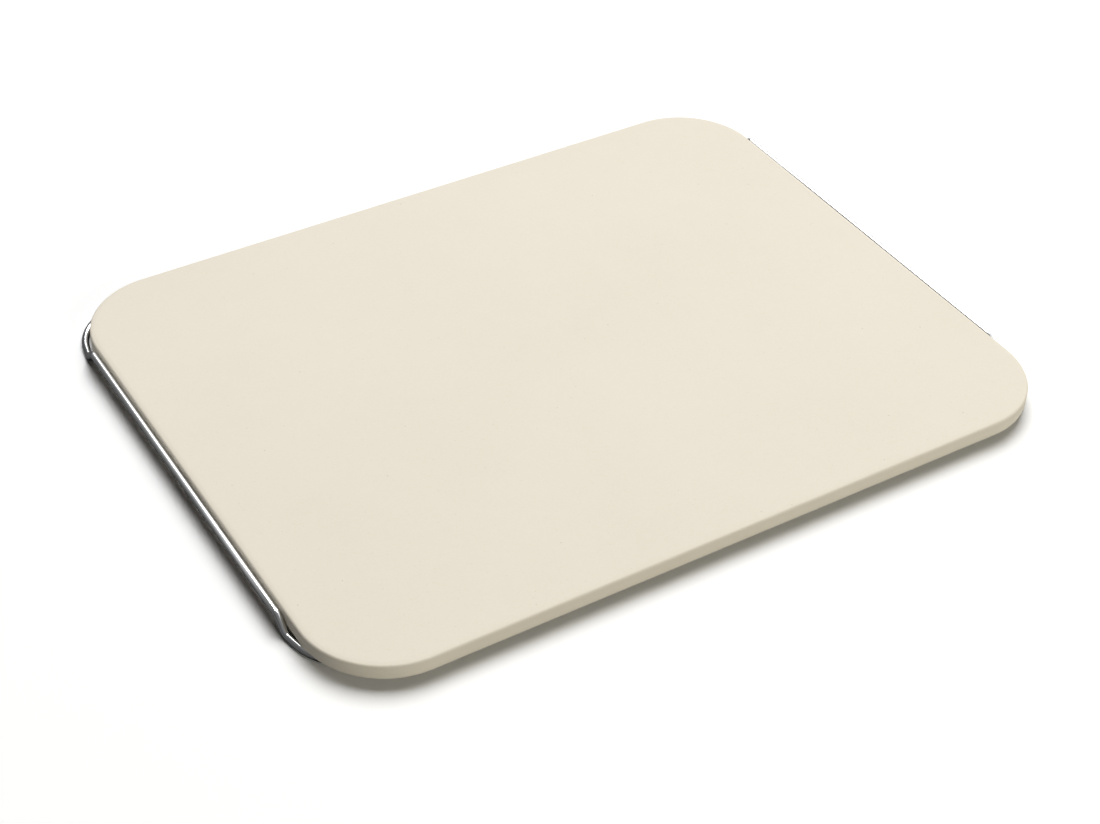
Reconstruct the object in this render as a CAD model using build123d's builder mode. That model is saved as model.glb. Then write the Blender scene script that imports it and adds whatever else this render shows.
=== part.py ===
from build123d import *

import os
from math import cos, radians, sin, tan

# A flat rectangular baking stone that lies loose on a low chromed wire rack. Lengths are in millimetres.
# The origin is on the worktop, under the middle of the stone. X runs along its long side, Y from the
# front to the back, and Z up.

# Stone: one pressed and fired ceramic slab with rounded corners. Its upper face falls away slightly along
# the rim, down to a rounded edge.
stone_length = 380.0
stone_width = 300.0
stone_thickness = 8.0
stone_corner_radius = 41.0
stone_rim_width = 2.6
stone_rim_fall = 0.35
stone_rim_blend_radius = 12.0
stone_top_edge_radius = 1.3
stone_bottom_edge_radius = 1.5

# Handle wires: two round wires, bent alike, whose ends are butt welded in the middle of the long sides.
# Each rises to a straight handle along the stone's short side and runs under its long sides as a rail.
frame_wire_diameter = 3.5
handle_rise = 7.0
handle_drop_run = 6.5
handle_drop_inset = 0.45
handle_bend_radius = 5.0
corner_bend_radius = 28.0
corner_straight = 8.0
corner_turn_in_degrees = 11.0
rail_inset = 12.0
rack_set_back = 7.8

# Cross wires: straight thinner wires whose ends are coped to the rails and welded at their mid height
cross_wire_diameter = 2.5
cross_wire_end_inset = 27.0
cross_wire_names = ("cross_wire_far_left", "cross_wire_left", "cross_wire_right", "cross_wire_far_right")

# Clearances between the loose stone and the rack
seat_clearance = 0.3
handle_clearance = 0.4

# Places that follow from the sizes above
wire_radius = frame_wire_diameter / 2
stone_bottom_z = frame_wire_diameter + seat_clearance
handle_x = stone_length / 2 + handle_clearance + wire_radius
handle_z = wire_radius + handle_rise
rail_y = stone_width / 2 - rail_inset
corner_turn_in = radians(corner_turn_in_degrees)
corner_tangent = corner_bend_radius * tan((radians(90) - corner_turn_in) / 2)
foot_to_corner = corner_tangent + corner_straight
foot_x = handle_x - handle_drop_inset
foot_y = rail_y - foot_to_corner * cos(corner_turn_in)
corner_x = foot_x - foot_to_corner * sin(corner_turn_in)
handle_end_y = foot_y - handle_drop_run
cross_wire_last_x = corner_x - corner_tangent - cross_wire_end_inset
front_rail_y = rack_set_back - rail_y
back_rail_y = rack_set_back + rail_y


os.makedirs("parts", exist_ok=True)

with BuildPart() as stone:
    with BuildSketch(Plane.XY.offset(stone_bottom_z)):
        RectangleRounded(stone_length, stone_width, stone_corner_radius)
    extrude(amount=stone_thickness)
    upper_face = stone.faces().sort_by(Axis.Z)[-1]
    chamfer(upper_face.edges(), length=stone_rim_width, length2=stone_rim_fall, reference=upper_face)
    edges_by_height = stone.edges().group_by(Axis.Z)
    fillet(edges_by_height[-3], radius=stone_top_edge_radius)
    fillet(stone.faces().sort_by(Axis.Z)[-1].edges(), radius=stone_rim_blend_radius)
    fillet(stone.faces().sort_by(Axis.Z)[0].edges(), radius=stone_bottom_edge_radius)
stone.part.label = "stone"
export_step(stone.part, "parts/stone.step")

with BuildPart() as right_handle_wire:
    with BuildLine() as wire_route:
        FilletPolyline(
            (0, front_rail_y, wire_radius),
            (corner_x, front_rail_y, wire_radius),
            (foot_x, rack_set_back - foot_y, wire_radius),
            (handle_x, rack_set_back - handle_end_y, handle_z),
            (handle_x, rack_set_back + handle_end_y, handle_z),
            (foot_x, rack_set_back + foot_y, wire_radius),
            (corner_x, back_rail_y, wire_radius),
            (0, back_rail_y, wire_radius),
            radius=[corner_bend_radius] + [handle_bend_radius] * 4 + [corner_bend_radius],
        )
    with BuildSketch(Plane.YZ):
        with Locations((front_rail_y, wire_radius)):
            Circle(wire_radius)
    sweep(path=wire_route.wires()[0])
right_handle_wire.part.label = "right_handle_wire"
export_step(right_handle_wire.part, "parts/right_handle_wire.step")

with BuildPart() as left_handle_wire:
    mirror(right_handle_wire.part, about=Plane.YZ)
left_handle_wire.part.label = "left_handle_wire"
export_step(left_handle_wire.part, "parts/left_handle_wire.step")

cross_wire_last = len(cross_wire_names) - 1
for place, name in enumerate(cross_wire_names):
    cross_wire_x = cross_wire_last_x * (2 * place / cross_wire_last - 1)
    with BuildPart() as cross_wire:
        with BuildSketch(Plane.XZ.offset(-rack_set_back)):
            with Locations((cross_wire_x, wire_radius)):
                Circle(cross_wire_diameter / 2)
        extrude(amount=rail_y, both=True)
        with BuildSketch(Plane.YZ.offset(cross_wire_x - cross_wire_diameter)):
            with Locations((front_rail_y, wire_radius), (back_rail_y, wire_radius)):
                Circle(wire_radius)
        extrude(amount=2 * cross_wire_diameter, mode=Mode.SUBTRACT)
    cross_wire.part.label = name
    export_step(cross_wire.part, f"parts/{name}.step")

wire_length = wire_route.wires()[0].length
print("handle wire length", round(wire_length, 2))
print("handle wire volume over section times length", round(
    right_handle_wire.part.volume / (wire_length * Circle(wire_radius).area), 5))
print("handle length between bends", round(2 * handle_end_y, 2), "corner x", round(corner_x, 2),
      "foot", round(foot_x, 2), round(foot_y, 2), "last cross wire", round(cross_wire_last_x, 2))
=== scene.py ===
import math

import bpy
from mathutils import Matrix, Vector


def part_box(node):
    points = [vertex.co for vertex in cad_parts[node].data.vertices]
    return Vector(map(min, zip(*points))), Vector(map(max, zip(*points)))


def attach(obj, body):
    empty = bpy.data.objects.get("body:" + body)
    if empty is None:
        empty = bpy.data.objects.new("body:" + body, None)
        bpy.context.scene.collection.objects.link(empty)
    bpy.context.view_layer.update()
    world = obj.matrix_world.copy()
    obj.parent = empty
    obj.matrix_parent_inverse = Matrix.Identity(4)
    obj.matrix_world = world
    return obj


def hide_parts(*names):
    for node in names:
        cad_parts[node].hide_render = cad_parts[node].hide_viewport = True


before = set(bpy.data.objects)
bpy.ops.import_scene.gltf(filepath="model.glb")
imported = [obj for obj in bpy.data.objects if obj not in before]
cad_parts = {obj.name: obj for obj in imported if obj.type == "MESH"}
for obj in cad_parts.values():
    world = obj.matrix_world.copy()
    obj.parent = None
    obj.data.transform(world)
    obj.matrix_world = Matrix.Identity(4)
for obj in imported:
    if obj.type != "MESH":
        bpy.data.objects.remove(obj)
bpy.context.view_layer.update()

MM = 0.001


# Handle wires
# Two lengths of bright chromed steel wire, bent alike. Each has a raised straight handle beside the
# stone's short side, drops to the worktop at both ends and runs on under the stone as half of each rail.
# Their ends are butt welded in the middle of the long sides, which makes the two a closed frame.
wire_radius = 1.75 * MM
handle_rise = 7.0 * MM
handle_drop_run = 6.5 * MM
handle_drop_inset = 0.45 * MM
handle_bend_radius = 5.0 * MM
handle_clearance = 0.4 * MM
corner_bend_radius = 28.0 * MM
corner_straight = 8.0 * MM
corner_turn_in = math.radians(11.0)
rail_inset = 12.0 * MM
rack_set_back = 7.8 * MM
wire_sides = 40
bend_step = math.radians(3.0)
bend_least_steps = 3

stone_low, stone_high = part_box("stone")
handle_x = stone_high.x + handle_clearance + wire_radius
rail_y = stone_high.y - rail_inset
corner_tangent = corner_bend_radius * math.tan((math.pi / 2 - corner_turn_in) / 2)
foot_to_corner = corner_tangent + corner_straight
foot_x = handle_x - handle_drop_inset
foot_y = rail_y - foot_to_corner * math.cos(corner_turn_in)
corner_x = foot_x - foot_to_corner * math.sin(corner_turn_in)
handle_end_y = foot_y - handle_drop_run
handle_z = wire_radius + handle_rise

chrome_colour = (0.80, 0.81, 0.82, 1)
chrome_haze_colour = (0.70, 0.71, 0.72, 1)
chrome_roughness = 0.06
chrome_haze_roughness = 0.12
chrome_line_scale = 1400
chrome_line_detail = 2.0
chrome_line_stretch = 0.02
chrome_line_depth = 0.004 * MM
chrome_line_strength = 0.5
chrome_haze_scale = 60
chrome_haze_detail = 3.0
chrome_haze_start = 0.45
chrome_haze_full = 0.7


class Shade:
    """A socket in a material's node tree. Arithmetic on it adds Math nodes, and node() adds any other."""

    def __init__(self, tree, socket=None):
        self.tree = tree
        self.socket = socket

    def node(self, kind, settings=None, values=None, out=0):
        """Adds a shader node: its settings first, then the values or links of its sockets."""
        made = self.tree.nodes.new("ShaderNode" + kind)
        for name, setting in (settings or {}).items():
            if name == "stops":
                ramp = made.color_ramp.elements
                while len(ramp) < len(setting):
                    ramp.new(1)
                for stop, (place, colour) in zip(ramp, setting):
                    stop.position = place
                    stop.color = colour
            else:
                setattr(made, name, setting)
        for name, value in (values or {}).items():
            if isinstance(value, Shade):
                self.tree.links.new(value.socket, made.inputs[name])
            else:
                made.inputs[name].default_value = value
        return Shade(self.tree, made.outputs[out]) if len(made.outputs) else made

    def math(self, operation, first, second=0.0):
        """A Math node, for what the operators below leave out."""
        return self.node("Math", {"operation": operation}, {0: first, 1: second})

    def mix(self, factor, first, second):
        """A colour between two, by a factor."""
        return self.node("Mix", {"data_type": "RGBA"}, {0: factor, 6: first, 7: second}, out=2)

    def noise(self, place, scale, detail):
        """Cloudy noise at a place, as 0 to 1."""
        return self.node("TexNoise", values={"Vector": place, "Scale": scale, "Detail": detail})

    def spread(self, value, low, high, interpolation="LINEAR"):
        """A value's way from low to high, held to 0 to 1."""
        reach = {"Value": value, "From Min": low, "From Max": high}
        return self.node("MapRange", {"interpolation_type": interpolation}, reach)

    def __add__(self, other):
        return self.math("ADD", self, other)

    def __sub__(self, other):
        return self.math("SUBTRACT", self, other)

    def __rsub__(self, other):
        return self.math("SUBTRACT", other, self)

    def __mul__(self, other):
        return self.math("MULTIPLY", self, other)

    __radd__ = __add__
    __rmul__ = __mul__


def new_material(name):
    """An empty node material and the Shade that its nodes are made from."""
    material = bpy.data.materials.new(name)
    material.use_nodes = True
    material.node_tree.nodes.clear()
    return material, Shade(material.node_tree)


def chrome_material():
    """Bright plating: faint drawing lines along the wire, and a slightly hazier film in patches."""
    material, make = new_material("bright_chrome")
    around = make.node("Attribute", {"attribute_name": "around"}, out="Vector")
    along = make.node("Attribute", {"attribute_name": "along"}, out="Fac")
    straightened = make.node("CombineXYZ", values={
        "X": make.node("SeparateXYZ", values={"Vector": around}, out="X"),
        "Y": make.node("SeparateXYZ", values={"Vector": around}, out="Y"),
        "Z": along * chrome_line_stretch,
    })
    lines = make.noise(straightened, chrome_line_scale, chrome_line_detail)
    haze = make.noise(make.node("TexCoord", out="Object"), chrome_haze_scale, chrome_haze_detail)
    haze = make.spread(haze, chrome_haze_start, chrome_haze_full)
    bump = make.node("Bump", values={
        "Strength": chrome_line_strength,
        "Distance": chrome_line_depth,
        "Height": lines,
    })
    surface = make.node("BsdfPrincipled", values={
        "Base Color": make.mix(haze, chrome_colour, chrome_haze_colour),
        "Metallic": 1.0,
        "Roughness": chrome_roughness + haze * (chrome_haze_roughness - chrome_roughness),
        "Normal": bump,
    })
    make.node("OutputMaterial", values={"Surface": surface})
    return material


def rounded_path(corners, radii):
    """The points of straight runs joined by arcs: the first and last corner, and an arc at each other."""
    points = [Vector(corners[0])]
    for before, corner, after, radius in zip(corners, corners[1:], corners[2:], radii):
        back = (Vector(before) - Vector(corner)).normalized()
        ahead = (Vector(after) - Vector(corner)).normalized()
        turn = math.pi - back.angle(ahead)
        tangent = radius * math.tan(turn / 2)
        start = Vector(corner) + back * tangent
        centre = Vector(corner) + (back + ahead).normalized() * (radius / math.cos(turn / 2))
        spoke = (start - centre).normalized()
        steps = max(bend_least_steps, math.ceil(turn / bend_step))
        for step in range(steps + 1):
            angle = turn * step / steps
            points.append(centre + (spoke * math.cos(angle) - back * math.sin(angle)) * radius)
    points.append(Vector(corners[-1]))
    return points


def wire_tree():
    """Geometry Nodes: a round wire along a curve, which keeps its place along and around the wire."""
    tree = bpy.data.node_groups.new("round_wire", "GeometryNodeTree")
    for name, kind in (("Geometry", "Geometry"), ("Radius", "Float"), ("Sides", "Int"),
                       ("Material", "Material")):
        tree.interface.new_socket(name, in_out="INPUT", socket_type="NodeSocket" + kind)
    tree.interface.new_socket("Geometry", in_out="OUTPUT", socket_type="NodeSocketGeometry")
    new = tree.nodes.new
    given = new("NodeGroupInput")
    result = new("NodeGroupOutput")
    ring = new("GeometryNodeCurvePrimitiveCircle")
    ring_place = new("GeometryNodeInputPosition")
    mark_around = new("GeometryNodeStoreNamedAttribute")
    mark_around.data_type = "FLOAT_VECTOR"
    mark_around.inputs["Name"].default_value = "around"
    length = new("GeometryNodeSplineParameter")
    mark_along = new("GeometryNodeStoreNamedAttribute")
    mark_along.data_type = "FLOAT"
    mark_along.inputs["Name"].default_value = "along"
    skin = new("GeometryNodeCurveToMesh")
    skin.inputs["Fill Caps"].default_value = True
    smooth = new("GeometryNodeSetShadeSmooth")
    real = new("GeometryNodeRealizeInstances")
    finish = new("GeometryNodeSetMaterial")
    for (source, output), (target, entry) in (
        ((given, "Radius"), (ring, "Radius")),
        ((given, "Sides"), (ring, "Resolution")),
        ((ring, "Curve"), (mark_around, "Geometry")),
        ((ring_place, "Position"), (mark_around, "Value")),
        ((given, "Geometry"), (mark_along, "Geometry")),
        ((length, "Length"), (mark_along, "Value")),
        ((mark_along, "Geometry"), (skin, "Curve")),
        ((mark_around, "Geometry"), (skin, "Profile Curve")),
        ((skin, "Mesh"), (smooth, "Geometry")),
        ((smooth, "Geometry"), (real, "Geometry")),
        ((real, "Geometry"), (finish, "Geometry")),
        ((given, "Material"), (finish, "Material")),
        ((finish, "Geometry"), (result, "Geometry")),
    ):
        tree.links.new(source.outputs[output], target.inputs[entry])
    return tree


def plain_mesh(name, source, tree, settings):
    """Runs a Geometry Nodes tree on an object and keeps the result as a plain mesh piece."""
    modifier = source.modifiers.new(name, "NODES")
    modifier.node_group = tree
    for entry in tree.interface.items_tree:
        if entry.in_out == "INPUT" and entry.name in settings:
            modifier[entry.identifier] = settings[entry.name]
    evaluated = source.evaluated_get(bpy.context.evaluated_depsgraph_get())
    mesh = bpy.data.meshes.new_from_object(evaluated)
    source.modifiers.remove(modifier)
    bpy.data.objects.remove(source)
    mesh.name = name
    piece = bpy.data.objects.new(name, mesh)
    bpy.context.scene.collection.objects.link(piece)
    return piece


def path_object(name, paths, closed=False):
    """A curve object with a straight-run spline through each list of points."""
    curve = bpy.data.curves.new(name, "CURVE")
    curve.dimensions = "3D"
    for points in paths:
        spline = curve.splines.new("POLY")
        spline.points.add(len(points) - 1)
        spline.use_cyclic_u = closed
        for slot, point in zip(spline.points, points):
            slot.co = (*point, 1)
    made = bpy.data.objects.new(name, curve)
    bpy.context.scene.collection.objects.link(made)
    return made


chrome = chrome_material()
round_wire = wire_tree()


def bright_wire(name, paths, radius, sides, closed=False):
    """A piece of bright round wire along each list of points."""
    path = path_object(name + ".path", paths, closed)
    return plain_mesh(name, path, round_wire, {"Radius": radius, "Sides": sides, "Material": chrome})


for side, name in ((-1, "left_handle_wire"), (1, "right_handle_wire")):
    front_half = [
        (0, -rail_y, wire_radius),
        (side * corner_x, -rail_y, wire_radius),
        (side * foot_x, -foot_y, wire_radius),
        (side * handle_x, -handle_end_y, handle_z),
    ]
    corners = front_half + [(x, -y, z) for x, y, z in reversed(front_half)]
    corners = [(x, y + rack_set_back, z) for x, y, z in corners]
    radii = [corner_bend_radius] + [handle_bend_radius] * 4 + [corner_bend_radius]
    route = rounded_path(corners, radii)
    handle_wire = bright_wire(name + ".bright", [route], wire_radius, wire_sides)
    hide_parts(name)
    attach(handle_wire, "rack")


# Butt welds
# Where the two handle wires' ends are upset and welded together, in the middle of each rail, a low
# rounded ridge of flash stays round the wire. It is ground clear of the worktop and plated over.
butt_ring_radius = 1.5 * MM
butt_bead_radius = 0.34 * MM
butt_centre_z = 1.86 * MM
weld_waviness = 0.05 * MM
weld_waves = ((2, 1), (5, 0))
weld_points = 36
weld_sides = 12


def weld_angles():
    """The angles of a weld's points, each with its unevenness."""
    for step in range(weld_points):
        angle = math.tau * step / weld_points
        swing = sum(math.sin(count * angle + shift) for count, shift in weld_waves)
        yield angle, weld_waviness * swing / len(weld_waves)


butt_rings = []
for rail in (-rail_y, rail_y):
    ring = []
    for angle, wave in weld_angles():
        ring_y = rack_set_back + rail + butt_ring_radius * math.cos(angle)
        ring.append((wave, ring_y, butt_centre_z + butt_ring_radius * math.sin(angle)))
    butt_rings.append(ring)
butt_welds = bright_wire("butt_welds.bright", butt_rings, butt_bead_radius, weld_sides, closed=True)
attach(butt_welds, "rack")


# Cross wires
# Four thinner straight lengths of the same chromed wire. Their ends are coped to the rails and welded
# on at the rails' mid height, so they hold the frame square and stay just clear of the stone.
cross_wire_radius = 1.25 * MM
cross_wire_half_length = rail_y - wire_radius
cross_wire_names = ("cross_wire_far_left", "cross_wire_left", "cross_wire_right", "cross_wire_far_right")

for name in cross_wire_names:
    low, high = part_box(name)
    middle_x = (low.x + high.x) / 2
    ends = [(middle_x, rack_set_back + end * cross_wire_half_length, wire_radius) for end in (-1, 1)]
    cross_wire = bright_wire(name + ".bright", [ends], cross_wire_radius, wire_sides)
    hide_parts(name)
    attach(cross_wire, "rack")


# Cross wire welds
# A small bead of weld fills the saddle where each cross wire's end meets the round side of its rail. It
# was melted from the two wires and is plated with them.
saddle_bead_radius = 0.38 * MM

saddles = []
for name in cross_wire_names:
    low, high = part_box(name)
    middle_x = (low.x + high.x) / 2
    for end in (-1, 1):
        saddle = []
        for angle, wave in weld_angles():
            reach = cross_wire_radius + wave
            up = reach * math.sin(angle)
            cope = math.sqrt(wire_radius ** 2 - up ** 2)
            saddle_y = rack_set_back + end * (rail_y - cope)
            saddle.append((middle_x + reach * math.cos(angle), saddle_y, wire_radius + up))
        saddles.append(saddle)
cross_wire_welds = bright_wire(
    "cross_wire_welds.bright", saddles, saddle_bead_radius, weld_sides, closed=True)
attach(cross_wire_welds, "rack")


# Stone
# One slab of fired ceramic, pressed flat with rounded corners and softened edges, unglazed and matt. It
# lies loose on the rack and is lifted off by hand.
stone_corner_radius = 41.0 * MM
stone_rim_width = 2.6 * MM
stone_rim_fall = 0.35 * MM
stone_rim_blend_radius = 12.0 * MM
stone_top_edge_radius = 1.3 * MM
stone_bottom_edge_radius = 1.5 * MM
stone_flat_margin = 6.0 * MM
stone_edge_rows = 10
stone_corner_columns = 48

stone_colour = (0.792, 0.727, 0.610, 1)
stone_pale_colour = (0.838, 0.779, 0.668, 1)
stone_speck_colour = (0.62, 0.52, 0.38, 1)
# The pinholes' darker colour is painted shade in their hollows.
stone_pit_shade_colour = (0.45, 0.39, 0.30, 1)
stone_cloud_scale = 9
stone_cloud_detail = 3.0
stone_cloud_weight = 0.4
stone_blotch_scale = 60
stone_blotch_detail = 2.0
stone_blotch_weight = 0.25
stone_grain_scale = 900
stone_grain_detail = 3.0
stone_grain_weight = 0.35
stone_tone_low = 0.3
stone_tone_high = 0.7
stone_speck_scale = 330
stone_speck_radius = 0.13
stone_speck_share = 0.3
stone_speck_strength = 0.3
stone_pit_scale = 130
stone_pit_radius = 0.055
stone_pit_share = 0.35
stone_pit_shade_strength = 0.5
stone_relief = 0.12 * MM
stone_relief_strength = 0.3
stone_grain_relief = 0.4
stone_blotch_relief = 0.3
stone_roughness = 0.65
stone_roughness_change = 0.1
stone_specular = 0.45


def stone_outline(inset, height):
    """The slab's rounded outline at a height, drawn in by an inset."""
    radius = stone_corner_radius - inset
    points = []
    for quarter in range(4):
        centre_x = (stone_high.x - stone_corner_radius) * (1 if quarter in (0, 3) else -1)
        centre_y = (stone_high.y - stone_corner_radius) * (1 if quarter in (0, 1) else -1)
        for column in range(stone_corner_columns + 1):
            angle = math.pi / 2 * (quarter + column / stone_corner_columns)
            points.append((centre_x + radius * math.cos(angle), centre_y + radius * math.sin(angle), height))
    return points


def edge_arc(radius, start, stop):
    """The inset and drop, from an arc's own centre, of points round it between two slopes."""
    for row in range(stone_edge_rows + 1):
        slope = start + (stop - start) * row / stone_edge_rows
        yield radius * math.sin(slope), radius * math.cos(slope)


def stone_rows():
    """The slab's edge from the flat above to the flat below, as insets from its outline and heights."""
    rim_slope = math.atan2(stone_rim_fall, stone_rim_width)
    flat_inset = stone_rim_width + stone_rim_blend_radius * math.tan(rim_slope / 2)
    edge_drop = stone_rim_fall + stone_top_edge_radius * math.tan((math.pi / 2 - rim_slope) / 2)
    rows = [(stone_flat_margin, stone_high.z)]
    for out, up in edge_arc(stone_rim_blend_radius, 0, rim_slope):
        rows.append((flat_inset - out, stone_high.z - stone_rim_blend_radius + up))
    for out, up in edge_arc(stone_top_edge_radius, rim_slope, math.pi / 2):
        rows.append((stone_top_edge_radius - out, stone_high.z - edge_drop + up))
    for out, up in edge_arc(stone_bottom_edge_radius, math.pi / 2, math.pi):
        rows.append((stone_bottom_edge_radius - out, stone_low.z + stone_bottom_edge_radius + up))
    rows.append((stone_flat_margin, stone_low.z))
    return rows


def stone_mesh():
    """Rings of the outline down the edge, closed by a flat face above and below."""
    rings = [stone_outline(inset, height) for inset, height in stone_rows()]
    count = len(rings[0])
    faces = [tuple(range(count))]
    for row in range(len(rings) - 1):
        for column in range(count):
            following = (column + 1) % count
            faces.append((row * count + column, (row + 1) * count + column,
                          (row + 1) * count + following, row * count + following))
    faces.append(tuple(reversed(range((len(rings) - 1) * count, len(rings) * count))))
    mesh = bpy.data.meshes.new("stone.fired")
    mesh.from_pydata([point for ring in rings for point in ring], [], faces)
    mesh.shade_smooth()
    return mesh


def stone_dots(make, place, scale, radius, share):
    """Round dots in a share of a cell pattern's cells, as 0 to 1 towards each dot's middle."""
    cells = {"Vector": place, "Scale": scale}
    distance = make.node("TexVoronoi", values=cells, out="Distance")
    cell_colour = make.node("TexVoronoi", values=cells, out="Color")
    chance = make.node("SeparateColor", values={"Color": cell_colour}, out="Red")
    return make.spread(distance, radius, radius / 2) * make.math("LESS_THAN", chance, share)


def stone_material():
    """Cream fired ceramic: a faint cloudy tone, fine grain, a few brown specks, pinholes with painted shade
    in them, powdery.
    """
    material, make = new_material("cream_fired_ceramic")
    place = make.node("TexCoord", out="Object")
    cloud = make.noise(place, stone_cloud_scale, stone_cloud_detail)
    blotch = make.noise(place, stone_blotch_scale, stone_blotch_detail)
    grain = make.noise(place, stone_grain_scale, stone_grain_detail)
    specks = stone_dots(make, place, stone_speck_scale, stone_speck_radius, stone_speck_share)
    pits = stone_dots(make, place, stone_pit_scale, stone_pit_radius, stone_pit_share)
    tone = cloud * stone_cloud_weight + blotch * stone_blotch_weight + grain * stone_grain_weight
    tone = make.spread(tone, stone_tone_low, stone_tone_high)
    colour = make.mix(tone, stone_colour, stone_pale_colour)
    colour = make.mix(specks * stone_speck_strength, colour, stone_speck_colour)
    # Painted shade: each pinhole is darkened as if shade fell in it; its hollow itself is the bump below.
    colour = make.mix(pits * stone_pit_shade_strength, colour, stone_pit_shade_colour)
    bump = make.node("Bump", values={
        "Strength": stone_relief_strength,
        "Distance": stone_relief,
        "Height": grain * stone_grain_relief + blotch * stone_blotch_relief - pits,
    })
    surface = make.node("BsdfPrincipled", values={
        "Base Color": colour,
        "Roughness": stone_roughness + blotch * stone_roughness_change,
        "Specular IOR Level": stone_specular,
        "Normal": bump,
    })
    make.node("OutputMaterial", values={"Surface": surface})
    return material


slab = bpy.data.objects.new("stone.fired", stone_mesh())
bpy.context.scene.collection.objects.link(slab)
slab.data.materials.append(stone_material())
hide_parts("stone")
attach(slab, "stone")


# Floor
# A plain white table top, not part of the object. It takes the object's soft shadow. The wire mirrors
# it as white on the right, falling off to dark on the left, as it mirrors the room. That dark left side is
# painted shade, which only mirror rays see: the camera sees the floor white.
floor_half_width = 1.2
floor_colour = (0.50, 0.50, 0.50, 1)
floor_seen_colour = (1.1, 1.1, 1.1, 1)
# Painted shade on the floor's left side, seen only in the wire's mirror.
floor_mirrored_shade_colour = (0.12, 0.12, 0.12, 1)
floor_mirrored_shade_edge = -0.15
floor_white_edge = 0.1

floor_mesh = bpy.data.meshes.new("floor")
floor_corners = [(x * floor_half_width, y * floor_half_width, 0)
                 for x, y in ((-1, -1), (1, -1), (1, 1), (-1, 1))]
floor_mesh.from_pydata(floor_corners, [], [(0, 1, 2, 3)])
floor = bpy.data.objects.new("floor", floor_mesh)
bpy.context.scene.collection.objects.link(floor)


def ray_kinds(make):
    """Whether a ray comes from the camera or through something, and whether off a mirror."""
    through = make.node("LightPath", out="Is Transmission Ray")
    seen = make.math("MAXIMUM", make.node("LightPath", out="Is Camera Ray"), through)
    return seen, make.node("LightPath", out="Is Glossy Ray")


floor_material, make = new_material("white_table")
seen, mirrored = ray_kinds(make)
sideways = make.node("SeparateXYZ", values={"Vector": make.node("TexCoord", out="Object")}, out="X")
whiteness = make.spread(sideways, floor_mirrored_shade_edge, floor_white_edge, "SMOOTHSTEP")
# Painted shade: mirror rays see the floor dark on the left and white on the right.
mirrored_colour = make.mix(whiteness, floor_mirrored_shade_colour, floor_seen_colour)
colour = make.mix(mirrored, floor_colour, mirrored_colour)
colour = make.mix(seen, colour, floor_seen_colour)
make.node("OutputMaterial", values={"Surface": make.node("BsdfDiffuse", values={"Color": colour})})
floor.data.materials.append(floor_material)


# Lights
# One large soft box overhead, a little to the back and right, and a weak low soft fill from the front
# right. The room that the wire mirrors is dark on the left and white on the right, and its back wall is
# lit further over to the left, along a slanting edge. That draws the thin dark lines beside the wires.
def soft_light(name, place, size, power, colour=(1, 1, 1)):
    """A square area light that faces the middle of the table."""
    lamp = bpy.data.lights.new(name, "AREA")
    lamp.size = size
    lamp.energy = power
    lamp.color = colour
    made = bpy.data.objects.new(name, lamp)
    bpy.context.scene.collection.objects.link(made)
    made.location = place
    made.rotation_euler = (-Vector(place)).to_track_quat("-Z", "Y").to_euler()


soft_light("overhead_light", place=(1.28, 1.87, 4.0), size=3.7, power=252.0)
soft_light("front_light", place=(0.35, -2.15, 0.6), size=1.2, power=20.5, colour=(1.0, 0.97, 0.84))

world_ambient = 0.01
room_tones = ((-0.9, 0.1), (-0.5, 0.2), (0.18, 0.24), (0.45, 1.0))
wall_tones = ((-0.9, 0.1), (-0.66, 0.2), (-0.44, 0.41), (-0.28, 0.62), (-0.11, 0.88), (0.07, 1.0))
wall_edge_start = 0.648
wall_edge_end = 0.662
wall_slant = 4.0
wall_slant_from = 0.714

world = bpy.data.worlds.new("studio")
bpy.context.scene.world = world
world.use_nodes = True
world.node_tree.nodes.clear()
make = Shade(world.node_tree)


def grey_ramp(across, tones):
    """A grey that follows a direction from -1 to 1, by its tones there."""
    stops = [((side + 1) / 2, (tone, tone, tone, 1)) for side, tone in tones]
    return make.node("ValToRGB", {"stops": stops}, {"Fac": across * 0.5 + 0.5})


seen, mirrored = ray_kinds(make)
direction = make.node("TexCoord", out="Object")
sideways = make.node("SeparateXYZ", values={"Vector": direction}, out="X")
backward = make.node("SeparateXYZ", values={"Vector": direction}, out="Y")
slanting = sideways - (backward - wall_slant_from) * wall_slant
on_wall = make.spread(backward, wall_edge_start, wall_edge_end)
room = make.mix(on_wall, grey_ramp(sideways, room_tones), grey_ramp(slanting, wall_tones))
strength = world_ambient + mirrored * (room - world_ambient)
strength = strength + seen * (1.0 - strength)
backdrop = make.node("Background", values={"Color": (1, 1, 1, 1), "Strength": strength})
make.node("OutputWorld", values={"Surface": backdrop})


# Camera
# Stands a metre away in front, to the left and above, where the photograph was taken from, and is rolled
# a little, as the photograph is.
frame_width_px = 1100
focal_length_px = 2150.0
sensor_width = 36.0
camera_azimuth = math.radians(-32.304)
camera_elevation = math.radians(39.617)
camera_roll = math.radians(1.615)
camera_distance = 1007.6 * MM
camera_aim = Vector((-21.92, -32.04, 3.8)) * MM
clip_near = 10 * MM
clip_far = 20.0

back = Vector((math.sin(camera_azimuth) * math.cos(camera_elevation),
               -math.cos(camera_azimuth) * math.cos(camera_elevation),
               math.sin(camera_elevation)))
level = (-back).cross(Vector((0, 0, 1))).normalized()
upright = level.cross(-back)
rightward = level * math.cos(camera_roll) + upright * math.sin(camera_roll)
above = upright * math.cos(camera_roll) - level * math.sin(camera_roll)
lens = bpy.data.cameras.new("camera")
lens.sensor_fit = "HORIZONTAL"
lens.sensor_width = sensor_width
lens.lens = focal_length_px / frame_width_px * sensor_width
lens.clip_start = clip_near
lens.clip_end = clip_far
camera = bpy.data.objects.new("camera", lens)
bpy.context.scene.collection.objects.link(camera)
camera_turn = Matrix((rightward, above, back)).transposed().to_4x4()
camera.matrix_world = Matrix.Translation(camera_aim + back * camera_distance) @ camera_turn
bpy.context.scene.camera = camera
bpy.context.scene.view_settings.view_transform = "Standard"
